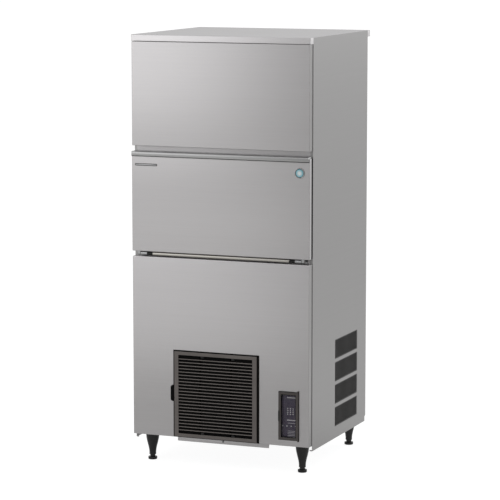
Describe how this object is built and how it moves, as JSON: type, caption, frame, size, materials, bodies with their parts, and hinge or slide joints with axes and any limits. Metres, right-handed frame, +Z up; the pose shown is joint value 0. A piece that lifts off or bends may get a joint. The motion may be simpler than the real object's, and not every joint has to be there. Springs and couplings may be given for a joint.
{
  "type": "cube ice machine",
  "caption": "Free-standing cube ice machine: stainless cabinet, drop-down bin door, louvred air inlet, ice maker above an insulated bin, levelling feet.",
  "frame": {"origin": "on the floor, under the middle of the machine's box", "axes": "+X to the right of someone facing the machine, +Y to its rear, +Z up"},
  "size_m": [0.704, 0.665, 1.6],
  "materials": {
    "stainless": "brushed",
    "black_plastic": "satin",
    "galvanised": "zinc coated",
    "foam": "foamed",
    "white_plastic": "moulded",
    "rubber": "moulded",
    "badge": "domed",
    "chromed_bar": "bright",
    "zinc_steel": "plated",
    "grey_plastic": "moulded",
    "filter_mesh": "woven",
    "smoked_pane": "gloss",
    "keypad": "printed",
    "aluminium_fins": "mill",
    "black_paint": "gloss",
    "copper": "drawn",
    "tinned_copper": "tinned"
  },
  "bodies": {
    "cabinet": {"top_panel": "stainless", "upper_front_panel": "stainless", "lower_front_panel": "stainless", "left_side_panel": "stainless", "right_side_panel": "stainless", "side_vent_grilles": "black_plastic", "rear_panel": "galvanised", "rear_cover": "galvanised", "base_pan": "galvanised", "legs": "black_plastic", "cabinet_deck": "galvanised", "front_frame": "stainless", "cabinet_insulation": "foam", "bin_liner": "white_plastic", "top_insulation": "foam", "front_insulation": "foam", "hinge_brackets": "zinc_steel", "front_louvre": "grey_plastic", "cover_ears": "grey_plastic", "control_housing": "black_plastic", "control_keypad": "keypad", "control_box": "galvanised", "condenser": "aluminium_fins", "fan_shroud": "galvanised", "fan_motor": "black_paint", "compressor": "black_paint", "compressor_grommets": "rubber", "discharge_pipe": "copper", "water_inlet": "white_plastic", "drain_fitting": "grey_plastic", "cord_grommet": "rubber", "evaporator": "tinned_copper", "maker_frame": "zinc_steel", "actuator_motor": "black_plastic", "drain_pan": "white_plastic", "cube_guide": "white_plastic", "panel_screws": "zinc_steel"},
    "door": {"door_skin": "stainless", "door_insulation": "foam", "door_liner": "white_plastic", "door_gasket": "rubber", "door_grip": "stainless", "door_badge": "badge", "hinge_bar": "chromed_bar", "hinge_arms": "zinc_steel", "hinge_bushes": "black_plastic"},
    "filter": {"air_filter": "filter_mesh"},
    "control_window": {"control_cover": "grey_plastic", "control_pane": "smoked_pane"},
    "fan": {"fan_blade": "black_plastic"},
    "water_tray": {"water_plate": "white_plastic", "water_tank": "white_plastic", "pump_motor": "black_plastic", "plate_springs": "zinc_steel"},
    "cam": {"cam_shaft": "zinc_steel"},
    "level_paddle": {"ice_level_paddle": "white_plastic"},
    "foot_fl": {"foot_front_left": "black_plastic"},
    "foot_fr": {"foot_front_right": "black_plastic"},
    "foot_rl": {"foot_rear_left": "black_plastic"},
    "foot_rr": {"foot_rear_right": "black_plastic"}
  },
  "joints": [
    {"name": "door_hinge", "type": "hinge", "parent": "cabinet", "child": "door", "pos_m": [0, -0.3145, 0.7905], "axis": [1, 0, 0], "range_deg": [0, 85]},
    {"name": "filter_slide", "type": "slide", "parent": "cabinet", "child": "filter", "axis": [-1, 0, 0], "range_m": [0, 0.32]},
    {"name": "control_window_hinge", "type": "hinge", "parent": "cabinet", "child": "control_window", "pos_m": [0.30855, -0.32565, 0.2202], "axis": [0, 0, 1], "range_deg": [0, 90]},
    {"name": "fan_spin", "type": "hinge", "parent": "cabinet", "child": "fan", "pos_m": [-0.0155, -0.1985, 0.267], "axis": [0, 1, 0], "continuous": true},
    {"name": "water_tray_tilt", "type": "hinge", "parent": "cabinet", "child": "water_tray", "pos_m": [-0.262, 0.0085, 1.384], "axis": [0, 1, 0], "range_deg": [0, 20], "deforming": ["plate_springs"]},
    {"name": "cam_turn", "type": "hinge", "parent": "cabinet", "child": "cam", "pos_m": [0.262, 0.0085, 1.446], "axis": [0, 1, 0], "range_deg": [-180, 0]},
    {"name": "paddle_hinge", "type": "hinge", "parent": "cabinet", "child": "level_paddle", "pos_m": [0.27, 0, 1.125], "axis": [0, -1, 0], "range_deg": [0, 12]},
    {"name": "foot_fl_screw", "type": "slide", "parent": "cabinet", "child": "foot_fl", "axis": [0, 0, -1], "range_m": [0, 0.025]},
    {"name": "foot_fr_screw", "type": "slide", "parent": "cabinet", "child": "foot_fr", "axis": [0, 0, -1], "range_m": [0, 0.025]},
    {"name": "foot_rl_screw", "type": "slide", "parent": "cabinet", "child": "foot_rl", "axis": [0, 0, -1], "range_m": [0, 0.025]},
    {"name": "foot_rr_screw", "type": "slide", "parent": "cabinet", "child": "foot_rr", "axis": [0, 0, -1], "range_m": [0, 0.025]}
  ],
  "couplings": [
    {"joint": "cam_turn", "follows": "water_tray_tilt", "ratio": -9}
  ]
}
